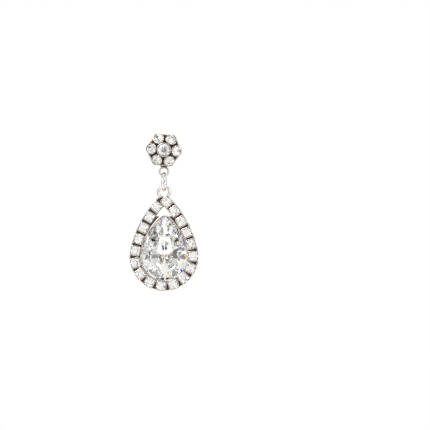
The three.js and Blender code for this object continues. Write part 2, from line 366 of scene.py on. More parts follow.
def joined(name, parts, pattern=None):
    """The parts as one piece. The pattern that they were copied from goes."""
    deselect()
    for part in parts:
        part.select_set(True)
    bpy.context.view_layer.objects.active = parts[0]
    bpy.ops.object.transform_apply(location=True, rotation=True, scale=True)
    if len(parts) > 1:
        bpy.ops.object.join()
    whole = bpy.context.view_layer.objects.active
    if pattern:
        bpy.data.objects.remove(pattern)
    whole.name = whole.data.name = name
    return whole


def finish_piece(piece, body, nodes, place=None):
    """Puts a piece in its place in metres, and ties it to the frame."""
    activate(piece)
    piece.matrix_world = Matrix.Scale(MILLIMETRE, 4) @ (place or Matrix())
    bpy.ops.object.transform_apply(location=True, rotation=True, scale=True)
    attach(piece, body)
    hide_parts(*nodes)
    return piece


# ---- Outlines ----


class Teardrop:
    """A teardrop of tangent arcs about its round bottom's middle: the bottom, two long sides that
    spring from it, and a small round tip whose top is at the height `tip`."""

    def __init__(self, bottom, side, spring, tip):
        self.bottom, self.side, self.spring = bottom, side, spring
        self.side_x, self.side_z = (side - bottom) * cos(spring), (side - bottom) * sin(spring)
        height = tip + self.side_z
        self.tip_radius = (side**2 - self.side_x**2 - height**2) / (2 * (side - height))
        self.turn = atan2(height - self.tip_radius, self.side_x)
        self.tip_z = tip - self.tip_radius

    def arcs(self):
        """Middle, start and end of each arc, once round from the bottom, right side first."""
        round_off = pi - self.turn
        return [
            ((0, 0), -pi / 2, self.spring),
            ((-self.side_x, -self.side_z), self.spring, self.turn),
            ((0, self.tip_z), self.turn, round_off),
            ((self.side_x, -self.side_z), round_off, pi - self.spring),
            ((0, 0), pi - self.spring, 3 * pi / 2),
        ]

    def point(self, angle):
        """The point whose outward normal has this angle, as (x, z)."""
        rise = asin(sin(angle))
        hand = -1 if cos(angle) < 0 else 1
        if rise <= self.spring + HAIR:
            x, z, radius = 0, 0, self.bottom
        elif rise <= self.turn + HAIR:
            x, z, radius = -self.side_x, -self.side_z, self.side
        else:
            x, z, radius = 0, self.tip_z, self.tip_radius
        return hand * x + radius * cos(angle), z + radius * sin(angle)


def teardrop_outline(name, shape, y, fineness=7):
    """A closed loop of edges along a teardrop, spun from one vertex."""
    piece = begin(name, bpy.ops.mesh.primitive_plane_add, size=1, location=(0, y, -shape.bottom))
    with editing(piece, "VERT"):
        bpy.ops.mesh.merge(type="CENTER")
        sweep(shape.arcs(), fineness)
        bpy.ops.mesh.select_all(action="SELECT")
        bpy.ops.mesh.remove_doubles(threshold=0.002)
    return piece


def sweep(arcs, fineness):
    """Spins what is selected along arcs about Y: `fineness` steps for a radian, and more for long
    arcs."""
    for (x, z), start, end in arcs:
        span = end - start
        steps = max(3, ceil(abs(span) * fineness * (3 if abs(x) > 1 else 1)))
        bpy.ops.mesh.spin(steps=steps, angle=span, center=(x, 0, z), axis=(0, 1, 0),
                          use_auto_merge=False)


def band(name, outer, inner, back, depth, rows, fineness=30):
    """A flat plate between two teardrops, in rows of small faces that can hold the tarnish."""
    piece = joined(name, [teardrop_outline(name, outer, back, fineness),
                          teardrop_outline("hole", inner, back, fineness)])
    with editing(piece, "EDGE"):
        bpy.ops.mesh.bridge_edge_loops(number_cuts=rows, interpolation="LINEAR")
        take_all("FACE")
        extrude(y=-depth)
        weld()
    return piece


def halo_outline(drop, spare, tip):
    return Teardrop(drop.bottom + spare, drop.side + spare, drop.spring, tip)


class HaloLine:
    """The halo's centreline, from its point down the right side and up the left."""

    def __init__(self, drop):
        self.drop = drop
        across = (drop.side - drop.bottom) * cos(drop.spring)
        self.side_turn = acos(across / drop.side)
        self.side_length = drop.side * (self.side_turn - drop.spring)
        self.length = 2 * self.side_length + drop.bottom * (pi + 2 * drop.spring)
        self.shape = Teardrop(drop.bottom, drop.side, drop.spring, drop.apex)

    def angle(self, along):
        drop = self.drop
        if along < self.side_length:
            return self.side_turn - along / drop.side
        if along > self.length - self.side_length:
            return -pi - self.side_turn + (self.length - along) / drop.side
        return drop.spring - (along - self.side_length) / drop.bottom

    def seats(self):
        drop = self.drop
        pitch = (self.length - drop.first_stone - drop.last_stone) / (HALO_STONES - 1)
        places = []
        for i in range(HALO_STONES):
            angle = self.angle(drop.first_stone + i * pitch)
            side = self.side_point(angle)
            places.append(seat(side[0], side[1], drop.girdle, angle))
        return places

    def side_point(self, angle):
        """As Teardrop.point, but on the bare arcs, which meet in a point at the top."""
        drop, shape = self.drop, self.shape
        hand = -1 if cos(angle) < 0 else 1
        if asin(sin(angle)) <= drop.spring + HAIR:
            return drop.bottom * cos(angle), drop.bottom * sin(angle)
        return (drop.side * cos(angle) - hand * shape.side_x, drop.side * sin(angle) - shape.side_z)


def seat(x, z, girdle_y, angle, tilt=0.0):
    """Where a stone sits: its girdle's middle, +X outward, and its face leant outward by `tilt`."""
    return (Matrix.Translation((x, girdle_y, z)) @ Matrix.Rotation(-angle, 4, "Y")
            @ Matrix.Rotation(tilt, 4, "Z"))


def uneven(places, lean, seed):
    """The same seats with each stone a little turned and leant, as stones set by hand are."""
    chance = Random(seed)
    return [place @ Matrix.Rotation(chance.uniform(0, tau), 4, "Y")
            @ Matrix.Rotation(radians(lean * chance.uniform(0.4, 1)), 4, "X") for place in places]


def petal_seats(stud):
    places = []
    for i in range(PETAL_STONES):
        angle = stud.petal_turn + i * tau / PETAL_STONES
        x, z = stud.petal_ring * cos(angle), stud.petal_ring * sin(angle)
        places.append(seat(x, z, stud.petal_girdle, angle, stud.petal_tilt))
    return places


def drop_place(drop, stud, link):
    """Where the drop's own origin, the middle of its round bottom, lies in the earring's frame, and
    the heights of the jump ring's highest and lowest wire."""
    ring_top = stud.loop_height - stud.loop_ring + stud.loop_wire + PLAY + link.wire
    ring_bottom = ring_top - 2 * link.ring
    loop = ring_bottom + link.wire + PLAY + drop.loop_wire - drop.loop_ring
    z = loop - drop.apex - drop.loop_rise
    return Matrix.Translation((0, stud.hang + drop.balance, z)), ring_top, ring_bottom


# ---- Finishes ----


class Signal:
    """A socket's output. Sums on it add Math nodes."""

    def __init__(self, kit, socket):
        self.kit, self.socket = kit, socket

    def sum(self, operation, first, second):
        return self.kit.node("ShaderNodeMath", {"operation": operation}, {0: first, 1: second})

    def __add__(self, other):
        return self.sum("ADD", self, other)

    def __radd__(self, other):
        return self.sum("ADD", other, self)

    def __sub__(self, other):
        return self.sum("SUBTRACT", self, other)

    def __rsub__(self, other):
        return self.sum("SUBTRACT", other, self)

    def __mul__(self, other):
        return self.sum("MULTIPLY", self, other)

    def __rmul__(self, other):
        return self.sum("MULTIPLY", other, self)


class Kit:
    """A material's or the world's nodes."""

    def __init__(self, owner):
        owner.use_nodes = True
        self.owner, self.tree = owner, owner.node_tree
        self.tree.nodes.clear()

    def node(self, kind, settings=None, inputs=None, output=0):
        """Adds a node: its settings first, then the values or links of its sockets."""
        node = self.tree.nodes.new(kind)
        for name, value in (settings or {}).items():
            if name == "stops":
                for spot, (at, shade) in zip(node.color_ramp.elements, value):
                    spot.position, spot.color = at, (*shade, 1)
            else:
                setattr(node, name, value)
        for name, value in (inputs or {}).items():
            socket = node.inputs[name]
            if isinstance(value, Signal):
                self.tree.links.new(value.socket, socket)
            elif socket.type == "RGBA" and len(value) == 3:
                socket.default_value = (*value, 1)
            else:
                socket.default_value = value
        return Signal(self, node.outputs[output])

    def mix(self, amount, first, second):
        """A colour between two."""
        return self.node("ShaderNodeMix", {"data_type": "RGBA"},
                         {0: amount, 6: first, 7: second}, 2)

    def spread(self, value, low, high, to_low=0.0, to_high=1.0):
        """Maps a range onto another, smoothly and no further."""
        return self.node("ShaderNodeMapRange", {"interpolation_type": "SMOOTHSTEP"},
                         {"Value": value, "From Min": low, "From Max": high, "To Min": to_low,
                          "To Max": to_high})

    def noise(self, place, size, detail=3.0, roughness=0.55):
        """Noise whose grains are about this many millimetres across."""
        return self.node("ShaderNodeTexNoise", None,
                         {"Vector": place, "Scale": 1 / (size * MILLIMETRE), "Detail": detail,
                          "Roughness": roughness})

    def place(self):
        """Where a point lies on its piece."""
        return self.node("ShaderNodeTexCoord", output="Object")

    def hollow(self):
        """What mark_hollows gave the piece."""
        return self.node("ShaderNodeAttribute", {"attribute_name": "hollow"}, output="Fac")

    def finish(self, inputs):
        """Ends a material in one shader with these inputs."""
        self.end("ShaderNodeOutputMaterial", self.node("ShaderNodeBsdfPrincipled", None, inputs))
        return self.owner

    def end(self, kind, shader):
        output = self.tree.nodes.new(kind)
        self.tree.links.new(shader.socket, output.inputs["Surface"])


def tinted(tone, shares):
    return [part * share for part, share in zip(tone, shares)]


def antiqued(name, bright, low, polish, darkening):
    """Cast silver that was blackened and rubbed back: bright where it is touched, brown-black in its
    hollows, with fine pits and rubbing marks."""
    kit = Kit(bpy.data.materials.new(name))
    place = kit.place()
    cloud = kit.noise(place, 1.1, 4)
    grain = kit.noise(place, 0.16, 3, 0.65)
    stain = kit.hollow() + (cloud - 0.5) * 0.3 + (grain - 0.5) * 0.16
    tarnish = kit.spread(stain, *darkening)
    warmed = kit.mix(kit.spread(cloud, 0.35, 0.75), bright, tinted(bright, (1, 0.965, 0.92)))
    bump = kit.node("ShaderNodeBump", None,
                    {"Strength": 0.55, "Distance": PIT_DEPTH, "Height": grain})
    return kit.finish({"Base Color": kit.mix(tarnish, warmed, low), "Metallic": 1.0,
                       "Roughness": polish + tarnish * 0.34 + (grain - 0.5) * 0.14,
                       "Normal": bump})


def polished(name, bright, polish):
    """Plain drawn wire: bright, with faint drawing marks and a thin bloom, and darker and browner in
    its hollows.
    """
    kit = Kit(bpy.data.materials.new(name))
    place = kit.place()
    bloom = kit.noise(place, 1.6, 4)
    grain = kit.noise(place, 0.12, 2)
    shade = kit.mix(kit.spread(bloom + kit.hollow() * 0.6, 0.45, 1.1), bright,
                    tinted(bright, (0.62, 0.57, 0.52)))
    bump = kit.node("ShaderNodeBump", None,
                    {"Strength": 0.35, "Distance": MARK_DEPTH, "Height": grain})
    return kit.finish({"Base Color": shade, "Metallic": 1.0,
                       "Roughness": polish + (bloom - 0.5) * 0.16, "Normal": bump})


def crystal_finishes(finish):
    """The clear stone in front, the mirror foil on its facets behind, and a violet foil that paints
    the pear's fire into one facet as a painted glint.
    """
    kit = Kit(bpy.data.materials.new("clear_crystal_face"))
    breath = kit.noise(kit.place(), 2.4, 2)
    tone = kit.mix(kit.spread(breath, 0.4, 0.7), tuple(finish.crystal), (0.985, 0.985, 0.975))
    kit.finish({"Base Color": tone, "Roughness": 0.0, "IOR": finish.crystal_index,
                "Transmission Weight": 1.0})
    # The second foil's violet is painted fire: a painted glint of dispersed light, not a colour the
    # foil has.
    for name, tint in (("foil_behind_crystal", finish.foil), ("painted_fire_foil", finish.fire)):
        kit = Kit(bpy.data.materials.new(name))
        cloud = kit.noise(kit.place(), 1.5, 3)
        tone = kit.mix(kit.spread(cloud, 0.35, 0.7), tuple(tint), tinted(tint, (0.94,) * 3))
        kit.finish({"Base Color": tone, "Metallic": 1.0, "Roughness": 0.02})


def shared_finish(name):
    """Each finish is made once, and the pieces share it."""
    made = bpy.data.materials.get(name)
    if made:
        return made
    finish = bpy.context.scene.earring_finish
    low = tuple(finish.silver_low)
    if name == "worn_silver":
        return antiqued(name, tuple(finish.silver), low, 0.2, (0.45, 0.85))
    if name == "worn_dark_silver":
        return antiqued(name, tuple(finish.dark_silver), low, 0.24, (0.38, 0.8))
    if name == "drawn_silver":
        return polished(name, tuple(finish.plain_silver), 0.16)
    crystal_finishes(finish)
    return bpy.data.materials[name]


def give(piece, *names):
    piece.data.materials.clear()
    for name in names:
        piece.data.materials.append(shared_finish(name))


def look_round(count):
    """Evenly spread directions, the same each time."""
    golden = pi * (3 - sqrt(5))
    ways = []
    for i in range(count):
        z = 1 - (2 * i + 1) / count
        flat = sqrt(1 - z * z)
        ways.append(Vector((flat * cos(golden * i), flat * sin(golden * i), z)))
    return ways


def mark_hollows(pieces, stones=(), stained=None):
    """Gives every vertex how far the walls close round it, from 0 in the open to 1 in a pit, as the
    attribute that the silver finishes read. It works in metres, on finished pieces. The nodes whose
    names begin with one of `stones` close them too. `stained` adds to it for the named pieces, which
    were rubbed back less, or more where it is negative."""
    reach = bpy.context.scene.earring_finish.hollow_reach
    corners, faces = [], []
    nodes = [node for name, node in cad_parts.items() if name.startswith(stones)]
    for thing in [*pieces, *nodes]:
        start = len(corners)
        corners += [vertex.co for vertex in thing.data.vertices]
        faces += [[start + i for i in face.vertices] for face in thing.data.polygons]
    tree = BVHTree.FromPolygons(corners, faces)
    ways = look_round(RAYS)
    for piece in pieces:
        values = []
        for vertex in piece.data.vertices:
            out = vertex.normal
            origin = vertex.co + out * (0.02 * MILLIMETRE)
            seen = shut = 0.0
            for way in ways:
                facing = way.dot(out)
                if facing < GRAZING:
                    continue
                seen += facing
                hit = tree.ray_cast(origin, way, reach)
                if hit[0] is not None:
                    shut += facing * (1 - 0.5 * hit[3] / reach)
            closed = sqrt(shut / seen if seen else 1.0)
            values.append(closed + (stained or {}).get(piece.name, 0.0))
        layer = piece.data.attributes.new("hollow", "FLOAT", "POINT")
        layer.data.foreach_set("value", values)


# ---- Stones ----


def slice_off(through, outward):
    """Cuts a facet: all that lies outward of the plane goes."""
    bpy.ops.mesh.select_all(action="SELECT")
    bpy.ops.mesh.bisect(plane_co=through, plane_no=outward, use_fill=True, clear_outer=True,
                        threshold=1e-5)


def facet_normal(angle, slope, front=True):
    """Outward normal of a facet that faces `angle` and slopes this much from level."""
    y = -cos(slope) if front else cos(slope)
    return Vector((sin(slope) * cos(angle), y, sin(slope) * sin(angle)))


def cut_round(name, radius, cut, pavilion_share=1.0):
    """A round stone that faces -Y, with its girdle's middle at the origin: a table, stars, mains and
    girdle facets in front, and two rows of facets behind."""
    half = cut.girdle * radius / 2
    table_y = -half - cut.crown * radius
    culet_y = half + cut.pavilion * pavilion_share * radius
    piece = begin(name, bpy.ops.mesh.primitive_cylinder_add, vertices=cut.mains * 6, radius=radius,
                  depth=culet_y - table_y, location=(0, (culet_y + table_y) / 2, 0),
                  rotation=(pi / 2, 0, 0))
    mains = cut.mains
    slope = atan(cut.crown / (1 - cut.table))
    back_slope = atan(cut.pavilion * pavilion_share)
    with editing(piece):
        for i in range(mains):
            main, between = i * tau / mains, (i + 0.5) * tau / mains
            rim = Vector((radius * cos(main), -half, radius * sin(main)))
            slice_off(rim, facet_normal(main, slope))
            back = Vector((rim.x, half, rim.z))
            slice_off(back, facet_normal(main, back_slope, front=False))
            ledge = cut.table * radius
            star = Vector((ledge * cos(between), table_y, ledge * sin(between)))
            slice_off(star, facet_normal(between, slope * 0.62))
            for side in (-0.25, 0.25):
                angle = between + side * tau / mains
                rim = Vector((radius * cos(angle), -half, radius * sin(angle)))
                slice_off(rim, facet_normal(angle, slope + radians(5.5)))
            low = Vector((radius * cos(between), half, radius * sin(between)))
            slice_off(low, facet_normal(between, back_slope + radians(3), front=False))
    return piece


def foil_back(piece):
    """Clear in front, foil on the girdle and behind."""
    give(piece, "clear_crystal_face", "foil_behind_crystal")
    for face in piece.data.polygons:
        face.material_index = 1 if face.normal.y > -0.05 else 0


def cut_pear(pear):
    """The big stone: a pear outline that is cut all round to a flat table and a culet."""
    shape = Teardrop(pear.bottom, pear.side, pear.spring, pear.tip)
    piece = teardrop_outline("pear_crystal", shape, pear.table_y, 9)
    with editing(piece, "EDGE"):
        bpy.ops.mesh.edge_face_add()
        take_all("FACE")
        extrude(y=pear.culet_y - pear.table_y)
        weld()
        mains = [radians(way) for way in PEAR_MAINS]
        crown = pear.girdle_front - pear.table_y
        depth = pear.culet_y - pear.girdle_back

        def reach(angle):
            x, z = shape.point(angle)
            return x * cos(angle) + z * sin(angle)

        for i, main in enumerate(mains):
            following = mains[(i + 1) % len(mains)]
            wrap = 0 if abs(main - following) < pi else tau
            between = (main + following + wrap) / 2
            x, z = shape.point(main)
            slope = atan(crown / ((1 - pear.table) * reach(main)))
            slice_off((x, pear.girdle_front, z), facet_normal(main, slope))
            back_slope = atan(depth / reach(main))
            slice_off((x, pear.girdle_back, z), facet_normal(main, back_slope, front=False))
            mid_slope = atan(crown / ((1 - pear.table) * reach(between)))
            x, z = shape.point(between)
            slice_off((x * pear.table, pear.table_y, z * pear.table),
                      facet_normal(between, mid_slope * 0.6))
            low_slope = atan(depth / reach(between)) + radians(4)
            slice_off((x, pear.girdle_back, z), facet_normal(between, low_slope, front=False))
            for part in (0.25, 0.75):
                gap = (following - main + pi) % tau - pi
                angle = main + gap * part
                x, z = shape.point(angle)
                steep = atan(crown / ((1 - pear.table) * reach(angle))) + radians(7)
                slice_off((x, pear.girdle_front, z), facet_normal(angle, steep))
        face_outward()
    return piece


# ---- Metal: what the halo and the stud share ----


def wire_loop(name, ring, wire, middle_at, sides=16, around=64, gap=0.0):
    """A ring of round wire in the XZ plane, spun from a circle. With a gap, its ends are capped."""
    x, y, z = middle_at
    piece = begin(name, bpy.ops.mesh.primitive_circle_add, vertices=sides, radius=wire,
                  location=(x + ring * cos(gap / 2), y, z + ring * sin(gap / 2)))
    with editing(piece, "EDGE"):
        bpy.ops.mesh.spin(steps=around, angle=tau - gap, center=middle_at, axis=(0, 1, 0),
                          use_auto_merge=False)
        if gap:
            weld(0.0005)
            cap_ends(piece)
            face_outward()
        else:
            weld()
    return piece


def rail(name, shape, width, depth, y, fineness):
    """A rounded rail along a teardrop."""
    piece = begin(name, bpy.ops.mesh.primitive_circle_add, vertices=14, radius=1,
                  location=(0, y, -shape.bottom), rotation=(0, pi / 2, 0))
    with editing(piece, "EDGE"):
        resize((1, depth / 2, width / 2), (0, y, -shape.bottom))
        sweep(shape.arcs(), fineness)
        weld()
    return piece


def chosen_face(piece):
    """In edit mode, the face that is selected."""
    return next(face for face in bmesh.from_edit_mesh(piece.data).faces if face.select)


def add_prong(angle, distance, radius, foot, top, lean):
    """A claw: a tapered pin with a domed end that bends in over the stone."""
    x, z = distance * cos(angle), distance * sin(angle)
    prong = begin("prong", bpy.ops.mesh.primitive_cylinder_add, vertices=10, radius=radius,
                  depth=foot - top, location=(x, (foot + top) / 2, z), rotation=(pi / 2, 0, 0))
    with editing(prong):
        pick(prong, "FACE", lambda face: face.normal.y < -0.9)
        for rise, size, step in PRONG_TIP:
            bpy.ops.mesh.extrude_region_move(TRANSFORM_OT_translate={
                "value": (-cos(angle) * step * lean, -rise, -sin(angle) * step * lean)})
            resize((size, 1, size), middle(chosen_face(prong)))
    return prong


def halo_cup(drop, stone_radius):
    """A rounded-square cup with a seat for the stone and four prongs at its corners."""
    half = drop.cup_half
    rim, back = -0.16 * stone_radius, 0.1 - drop.girdle
    cup = begin("halo_cups", bpy.ops.mesh.primitive_cube_add, size=1,
                location=(0, (rim + back) / 2, 0), scale=(2 * half, back - rim, 2 * half))
    with editing(cup, "EDGE"):
        pick(cup, "EDGE",
             lambda edge: abs((edge.verts[0].co - edge.verts[1].co).normalized().y) > 0.9)
        bpy.ops.mesh.bevel(offset=drop.cup_corner, segments=6, affect="EDGES")
        pick(cup, "FACE", lambda face: face.normal.y < -0.9)
        inset(0.07)
        move(y=-0.03)
        inset(0.05)
        extrude(y=0.22)
        inset(0.12)
        extrude(y=0.5, size=0.82)
        extrude(y=0.85, size=0.3)
        add_rows((0.05, 0.25, 0.45, 0.7, 0.95, 1.2))
    prongs = [add_prong((i + 0.5) * pi / 2, 1.44, 0.19, 0.9, -0.22, 0.42) for i in range(4)]
    return joined("halo_cups", [cup, *prongs])


def round_cup(name, stone_radius, wall, foot, prongs, prong_radius, first=0.0):
    """A turned cup with a rolled rim and short claws."""
    outer = stone_radius + PLAY + wall
    rim = -0.15 * stone_radius
    cup = begin(name, bpy.ops.mesh.primitive_cylinder_add, vertices=40, radius=outer * 0.76,
                depth=foot / 2, location=(0, foot * 0.75, 0), rotation=(pi / 2, 0, 0))
    with editing(cup):
        pick(cup, "FACE", lambda face: face.normal.y < -0.9)
        for y, radius in ((foot * 0.2, outer * 0.97), (0.0, outer), (rim, outer)):
            face = chosen_face(cup)
            corner = face.verts[0].co
            extrude(y=y - middle(face).y, size=radius / hypot(corner.x, corner.z))
        inset(wall * 0.35)
        move(y=-0.035)
        inset(wall * 0.45)
        extrude(y=0.12 - rim)
        extrude(y=foot - 0.16, size=0.06)
        add_rows([foot * part for part in (0.15, 0.32, 0.5, 0.7, 0.88)])
    made = [add_prong(first + i * tau / prongs, stone_radius + 0.07, prong_radius, 0.7, rim, 0.4)
            for i in range(prongs)]
    return joined(name, [cup, *made])


# ---- Operators ----


class EARRING_OT_stage(Operator):
    """Set the camera, the pale floor, and the soft white studio round the earring"""

    bl_idname = "earring.stage"
    bl_label = "Stage"

    def execute(self, context):
        stage = context.scene.earring_stage
        camera = bpy.data.cameras.new("camera")
        camera.sensor_width = 36
        camera.lens = camera.sensor_width * stage.camera_distance / stage.view_width
        camera.clip_start = 0.01
        view = bpy.data.objects.new("camera", camera)
        view.location = (stage.camera_x, -stage.camera_distance, stage.camera_z)
        view.rotation_euler = (pi / 2, 0, 0)
        context.scene.collection.objects.link(view)
        context.scene.camera = view
        context.scene.view_settings.view_transform = "Standard"
        context.scene.cycles.max_bounces = 16  # light turns many times inside a stone
        context.scene.cycles.glossy_bounces = 14
        context.scene.cycles.transmission_bounces = 14
        self.floor(stage)
        self.studio(context.scene)
        for name, place, size, power, tint in LIGHTS:
            light = bpy.data.lights.new(name, "AREA")
            light.size, light.energy, light.color = size, power, tint
            lamp = bpy.data.objects.new(name, light)
            lamp.location = place
            toward = Vector((0, 0, -0.02)) - lamp.location
            lamp.rotation_euler = toward.to_track_quat("-Z", "Y").to_euler()
            context.scene.collection.objects.link(lamp)
        return {"FINISHED"}

    def floor(self, stage):
        floor = begin("floor", bpy.ops.mesh.primitive_cylinder_add, vertices=128,
                      radius=stage.floor_radius, depth=0.004,
                      location=(0, 0, -stage.floor_drop - 0.002))
        soften(floor, 0.0015, 3)
        smooth(floor)
        kit = Kit(bpy.data.materials.new("pale_floor"))
        mottle = kit.noise(kit.place(), 40, 3)
        tone = kit.mix(mottle, tuple(stage.floor_colour), tinted(stage.floor_colour, (0.985,) * 3))
        floor.data.materials.append(kit.finish({"Base Color": tone, "Roughness": 0.85}))

    def studio(self, scene):
        """White to the eye. What the stones and the metal see is a white tent with grey gaps, a dark
        hole for the lens, and a little colour."""
        scene.world = bpy.data.worlds.new("studio")
        kit = Kit(scene.world)
        way = kit.node("ShaderNodeTexCoord", output="Generated")

        def patch(toward, inner, outer):
            near = kit.node("ShaderNodeVectorMath", {"operation": "DOT_PRODUCT"},
                            {0: way, 1: Vector(toward).normalized()}, "Value")
            return kit.spread(near, cos(radians(outer)), cos(radians(inner)))

        tent = 0.62 + patch((0, -1, 0.2), 35, 100) * 0.46
        room = kit.noise(way, 200, 1.5, 0.5)
        ahead = patch((0, -1, 0), 16, 26)
        tent = tent * (1 - kit.spread(room, 0.47, 0.38) * (1 - ahead) * 0.82)
        for toward, inner, outer, depth in GREY_GAPS:
            tent = tent * (1 - patch(toward, inner, outer) * depth)
        colour = kit.mix(patch((-0.42, -0.8, -0.2), 2.5, 4.5), (1, 1, 1), (1.0, 0.62, 0.25))
        colour = kit.mix(patch((0.1, -0.8, 0.5), 2.5, 4.0), colour, (0.75, 0.85, 0.35))
        seen = kit.node("ShaderNodeBackground", None, {"Color": (1, 1, 1), "Strength": 1.0})
        felt = kit.node("ShaderNodeBackground", None, {"Color": colour, "Strength": tent})
        eye = kit.node("ShaderNodeLightPath", output="Is Camera Ray")
        kit.end("ShaderNodeOutputWorld",
                kit.node("ShaderNodeMixShader", None, {0: eye, 1: felt, 2: seen}))


class EARRING_OT_round_stones(Operator):
    """Cut the stud's seven round stones and the halo's eighteen"""

    bl_idname = "earring.round_stones"
    bl_label = "Round stones"

    def execute(self, context):
        cut, stud, drop, link = settings_of(context.scene, "stones", "stud", "drop", "link")
        place = drop_place(drop, stud, link)[0]

        centre = cut_round("centre_crystal", cut.centre_radius, cut)
        foil_back(centre)
        finish_piece(centre, "stud", ["centre_stone"],
                     seat(0, 0, stud.centre_girdle, pi / cut.mains))

        petal = cut_round("petal_crystals", cut.petal_radius, cut)
        foil_back(petal)
        petals = copies_at(petal, uneven(petal_seats(stud), 3, 5))
        finish_piece(petals, "stud", [f"petal_stone_{i + 1}" for i in range(PETAL_STONES)])

        stone = cut_round("halo_crystals", cut.halo_radius, cut, 0.98)
        foil_back(stone)
        stones = copies_at(stone, uneven(HaloLine(drop).seats(), 7, 11))
        finish_piece(stones, "drop", [f"halo_stone_{i + 1}" for i in range(HALO_STONES)],
                     place)
        return {"FINISHED"}


class EARRING_OT_pear_stone(Operator):
    """Cut the large pear stone"""

    bl_idname = "earring.pear_stone"
    bl_label = "Pear stone"

    def execute(self, context):
        pear, drop, stud, link = settings_of(context.scene, "pear", "drop", "stud", "link")
        stone = cut_pear(pear)
        foil_back(stone)
        self.fire(stone, pear)
        place = drop_place(drop, stud, link)[0] @ Matrix.Translation((pear.x, 0, pear.z))
        finish_piece(stone, "drop", ["pear_stone"], place)
        return {"FINISHED"}

    def fire(self, stone, pear):
        """Paints blue-violet fire into the foil of the small facet behind the pear's lower right: a
        painted glint of dispersed light.
        """
        stone.data.materials.append(shared_finish("painted_fire_foil"))
        spot = Vector((cos(radians(-37)), 0, sin(radians(-37)))) * (pear.bottom - 0.6)
        backs = [face for face in stone.data.polygons if face.normal.y > 0.3]
        nearest = min(backs, key=lambda face: hypot(face.center.x - spot.x, face.center.z - spot.z))
        nearest.material_index = 2


class EARRING_OT_drop_frame(Operator):
    """Model the halo's rail and cups, the pear's cup, the web between them and the drop's loop"""

    bl_idname = "earring.drop_frame"
    bl_label = "Drop frame"

    def execute(self, context):
        drop, pear, stud, link = settings_of(context.scene, "drop", "pear", "stud", "link")
        cut = in_millimetres(context.scene.earring_stones)
        place = drop_place(drop, stud, link)[0]
        parts = [self.base(drop), self.lip(drop),
                 copies_at(halo_cup(drop, cut.halo_radius), HaloLine(drop).seats()),
                 self.pear_cup(pear), self.web(drop, pear), self.loop(drop)]
        made = []
        for part, name in zip(parts, ("halo_base", "halo_lip", "halo_cups", "pear_cup", "back_web",
                                      "drop_loop")):
            part.name = part.data.name = name
            smooth(part)
            give(part, "worn_silver")
            made.append(finish_piece(part, "drop", ["drop_frame"], place))
        mark_hollows(made, ("halo_stone", "pear_stone"),
                     stained={"drop_loop": 0.06, "back_web": 0.15, "halo_base": 0.08})
        return {"FINISHED"}

    def base(self, drop):
        """The halo's flat back, a broad band between its two edges."""
        outer = halo_outline(drop, drop.rail_outer - 0.1, drop.rail_tip - 0.1)
        inner = halo_outline(drop, -drop.rail_inner, drop.rail_inner_tip)
        piece = band("halo_base", outer, inner, 0.5, 0.95, 9)
        soften(piece, 0.1, 2, 50)
        return piece

    def lip(self, drop):
        """The smooth rounded rail along the halo's outside."""
        shape = halo_outline(drop, drop.rail_outer - 0.27, drop.rail_tip - 0.27)
        return rail("halo_lip", shape, 0.5, 1.5, -0.3, 26)

    def pear_cup(self, pear):
        grown = pear.wall + 0.05
        outer = Teardrop(pear.bottom + grown, pear.side + grown, pear.spring, pear.tip + grown)
        cup = teardrop_outline("pear_cup", outer, pear.rim_y, 22)
        with editing(cup, "EDGE"):
            bpy.ops.mesh.edge_face_add()
            take_all("FACE")
            extrude(y=pear.skirt_y - pear.rim_y)
            steps = 7
            share_now = 1.0
            for i in range(1, steps + 1):
                part = i / steps
                share_next = 1 - (1 - pear.back_share) * (1 - sqrt(1 - part**1.6 * 0.97))
                share_next = max(share_next, pear.back_share)
                extrude(y=(pear.back_y - pear.skirt_y) / steps, size=share_next / share_now)
                share_now = share_next
            face_outward()
            pick(cup, "FACE", lambda face: middle(face).y < pear.rim_y + 0.01)
            inset(0.1)
            move(y=-0.04)
            inset(0.2)
            extrude(y=0.5)
            extrude(y=pear.back_y - 0.22 + 0.84, size=0.06)
            add_rows((-1.05, -0.8, -0.55, -0.35))
            face_outward()
            move(x=pear.x, z=pear.z)
        return cup

    def web(self, drop, pear):
        """The flat plate between the halo and the pear's cup, cut straight across its top."""
        outer = halo_outline(drop, -drop.rail_inner / 2, drop.rail_inner_tip + drop.rail_inner / 2)
        half_wall = pear.wall / 2 + 0.05
        inner = Teardrop(pear.bottom + half_wall, pear.side + half_wall, pear.spring,
                         pear.tip + half_wall)
        piece = band("back_web", outer, inner, 0.4, 0.75, 5)
        with editing(piece):
            slice_off((0, 0, drop.web_top), (0, 0, 1))
        soften(piece, 0.08, 2, 50)
        return piece

    def loop(self, drop):
        """The drop's wire loop, and the lump of solder at its foot."""
        at = (0, -drop.balance, drop.apex + drop.loop_rise)
        loop = wire_loop("drop_loop", drop.loop_ring, drop.loop_wire, at)
        solder = (0, -drop.balance, at[2] - drop.loop_ring - 0.1)
        foot = begin("foot", bpy.ops.mesh.primitive_uv_sphere_add, segments=20, ring_count=12,
                     radius=1, location=solder)
        with editing(foot):
            resize((0.95, 0.5, 0.42), solder)
        return joined("drop_loop", [loop, foot])


class EARRING_OT_jump_ring(Operator):
    """Model the jump ring, a ring of wire whose ends meet in a hairline"""

    bl_idname = "earring.jump_ring"
    bl_label = "Jump ring"

    def execute(self, context):
        drop, stud, link = settings_of(context.scene, "drop", "stud", "link")
        _, top, bottom = drop_place(drop, stud, link)
        ring = wire_loop("jump_ring_wire", link.ring, link.wire, (0, 0, 0), 20, 88, link.seam)
        soften(ring, 0.03, 2, 60)
        smooth(ring)
        give(ring, "drawn_silver")
        place = (Matrix.Translation((0, stud.hang, (top + bottom) / 2))
                 @ Matrix.Rotation(pi / 2 - link.yaw, 4, "Z"))
        finish_piece(ring, "jump_ring", ["jump_ring"], place)
        mark_hollows([ring])
        return {"FINISHED"}


